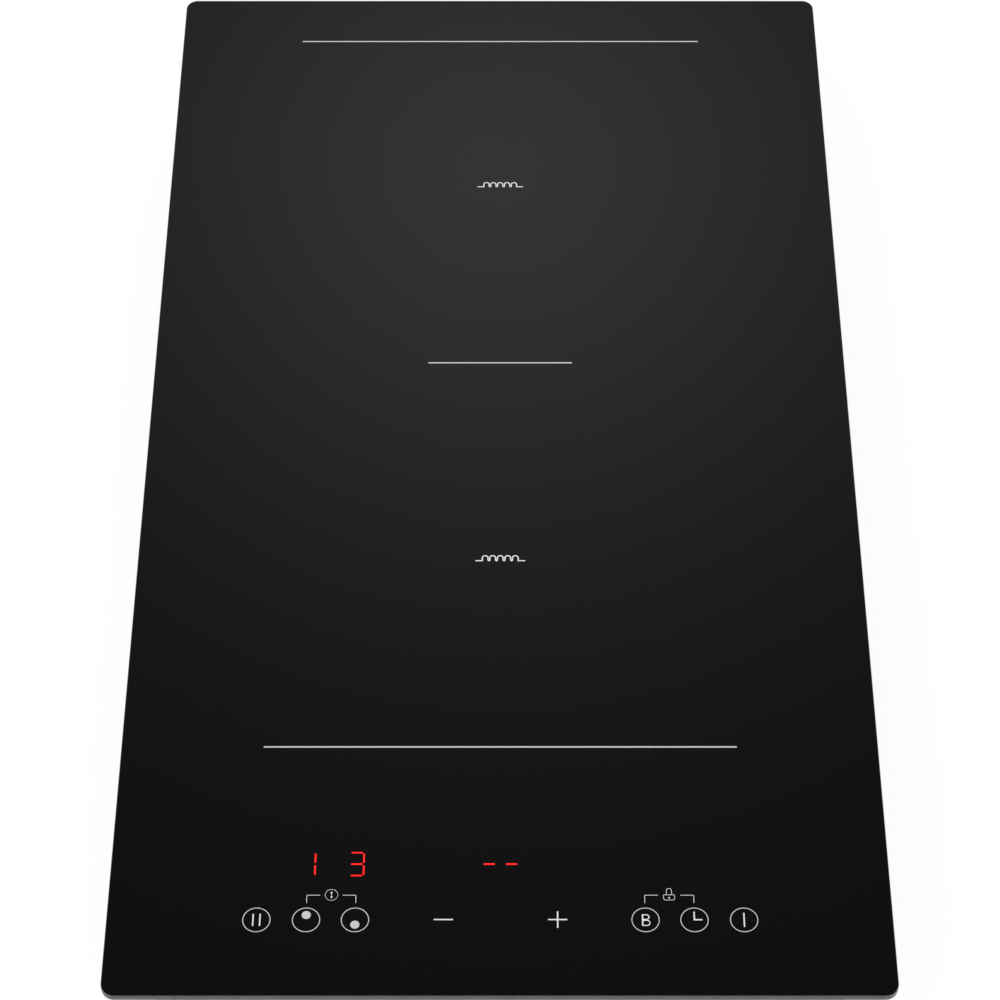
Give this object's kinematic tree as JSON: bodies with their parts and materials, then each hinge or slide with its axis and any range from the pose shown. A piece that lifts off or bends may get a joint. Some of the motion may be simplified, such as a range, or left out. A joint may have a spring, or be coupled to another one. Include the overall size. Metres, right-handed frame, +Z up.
{
  "type": "electric induction cooktop",
  "caption": "Built-in domino induction cooktop: black glass-ceramic top with touch controls and bridgeable cooking zones over a steel base tray.",
  "frame": {"origin": "under the middle of the base tray, on its underside", "axes": "+X to the user's right, +Y away from the user (the touch keys are at -Y), +Z up out of the worktop"},
  "size_m": [0.288, 0.52, 0.056],
  "materials": {
    "glass_black": "polished black glass-ceramic, ground edge",
    "silicone": "black silicone bead",
    "seal_foam": "closed-cell foam strip",
    "frame_steel": "black powder-coated steel",
    "tray_steel": "hot-dip galvanised sheet with a faint spangle",
    "screw_steel": "zinc-plated steel",
    "clamp_steel": "zinc-plated sheet steel",
    "gland_nylon": "black polyamide",
    "plate_aluminium": "mill-finish sheet",
    "spacer_steel": "turned steel",
    "mineral_mat": "pressed mineral fibre",
    "mica": "mica sheet",
    "copper_winding": "enamelled litz wire",
    "former_plastic": "glass-filled heat-resistant plastic",
    "ferrite": "sintered ferrite",
    "spring_steel": "spring steel",
    "circuit_board": "green solder resist",
    "white_plastic": "moulded nylon",
    "black_plastic": "moulded plastic",
    "component_black": "moulded epoxy",
    "capacitor_case": "film capacitor case",
    "capacitor_can": "sleeved aluminium can",
    "choke_core": "wound ring core",
    "relay_case": "relay case",
    "heat_sink_aluminium": "extruded, plain",
    "sensor_ceramic": "sensor holder",
    "bearing_bronze": "sintered bronze",
    "shaft_steel": "ground steel",
    "magnet": "bonded ferrite magnet",
    "lamination": "stacked electrical steel",
    "display_red": "seven-segment display",
    "touch_foam": "conductive foam",
    "wire_sleeve": "wire insulation",
    "print_white": "fired ceramic print",
    "display_glow": "lit display segments"
  },
  "bodies": {
    "housing": {"air_duct": "black_plastic", "base_tray": "tray_steel", "board_sockets": "white_plastic", "board_standoffs": "white_plastic", "bridge_rectifier": "component_black", "cable_gland": "gland_nylon", "carrier_plate": "plate_aluminium", "chokes": "choke_core", "clamp_nuts": "screw_steel", "clamp_screws": "screw_steel", "coil_leads": "wire_sleeve", "coil_springs": "spring_steel", "coil_terminals": "spacer_steel", "control_board": "circuit_board", "control_bracket": "black_plastic", "control_chips": "component_black", "control_ribbon": "wire_sleeve", "fan_bearing": "bearing_bronze", "fan_cover": "black_plastic", "fan_housing": "black_plastic", "fan_lead": "wire_sleeve", "fan_stator": "lamination", "ferrite_bars": "ferrite", "film_capacitors": "capacitor_case", "filter_board": "circuit_board", "front_coil_former": "former_plastic", "front_coil_winding": "copper_winding", "gland_nut": "gland_nylon", "glass_panel": "glass_black", "heat_sink": "heat_sink_aluminium", "housing_screws": "screw_steel", "inner_screws": "screw_steel", "insulation_mats": "mineral_mat", "led_displays": "display_red", "mains_fuse": "sensor_ceramic", "mains_wires": "wire_sleeve", "mica_discs": "mica", "perimeter_seal": "seal_foam", "plate_spacers": "spacer_steel", "power_board": "circuit_board", "power_relay": "relay_case", "power_transistors": "component_black", "rear_coil_former": "former_plastic", "rear_coil_winding": "copper_winding", "silicone_bond": "silicone", "smoothing_capacitors": "capacitor_can", "stator_coils": "copper_winding", "supply_transformer": "choke_core", "support_frame": "frame_steel", "temperature_sensors": "sensor_ceramic", "terminal_block": "white_plastic", "touch_pads": "touch_foam"},
    "fan_rotor": {"fan_shaft": "shaft_steel", "magnet_ring": "magnet", "fan_impeller": "black_plastic"},
    "clamp_front_left": {"clamp_front_left": "clamp_steel"},
    "clamp_front_right": {"clamp_front_right": "clamp_steel"},
    "clamp_rear_left": {"clamp_rear_left": "clamp_steel"},
    "clamp_rear_right": {"clamp_rear_right": "clamp_steel"}
  },
  "joints": [
    {"name": "fan_spin", "type": "hinge", "parent": "housing", "child": "fan_rotor", "pos_m": [0.035, 0.17, 0.018], "axis": [0, 0, 1], "continuous": true},
    {"name": "swivel_front_left", "type": "hinge", "parent": "housing", "child": "clamp_front_left", "pos_m": [-0.116, -0.212, 0.02275], "axis": [0, 0, 1], "range_deg": [-90, 0]},
    {"name": "swivel_front_right", "type": "hinge", "parent": "housing", "child": "clamp_front_right", "pos_m": [0.116, -0.212, 0.02275], "axis": [0, 0, 1], "range_deg": [0, 90]},
    {"name": "swivel_rear_left", "type": "hinge", "parent": "housing", "child": "clamp_rear_left", "pos_m": [-0.116, 0.212, 0.02275], "axis": [0, 0, 1], "range_deg": [0, 90]},
    {"name": "swivel_rear_right", "type": "hinge", "parent": "housing", "child": "clamp_rear_right", "pos_m": [0.116, 0.212, 0.02275], "axis": [0, 0, 1], "range_deg": [-90, 0]}
  ]
}
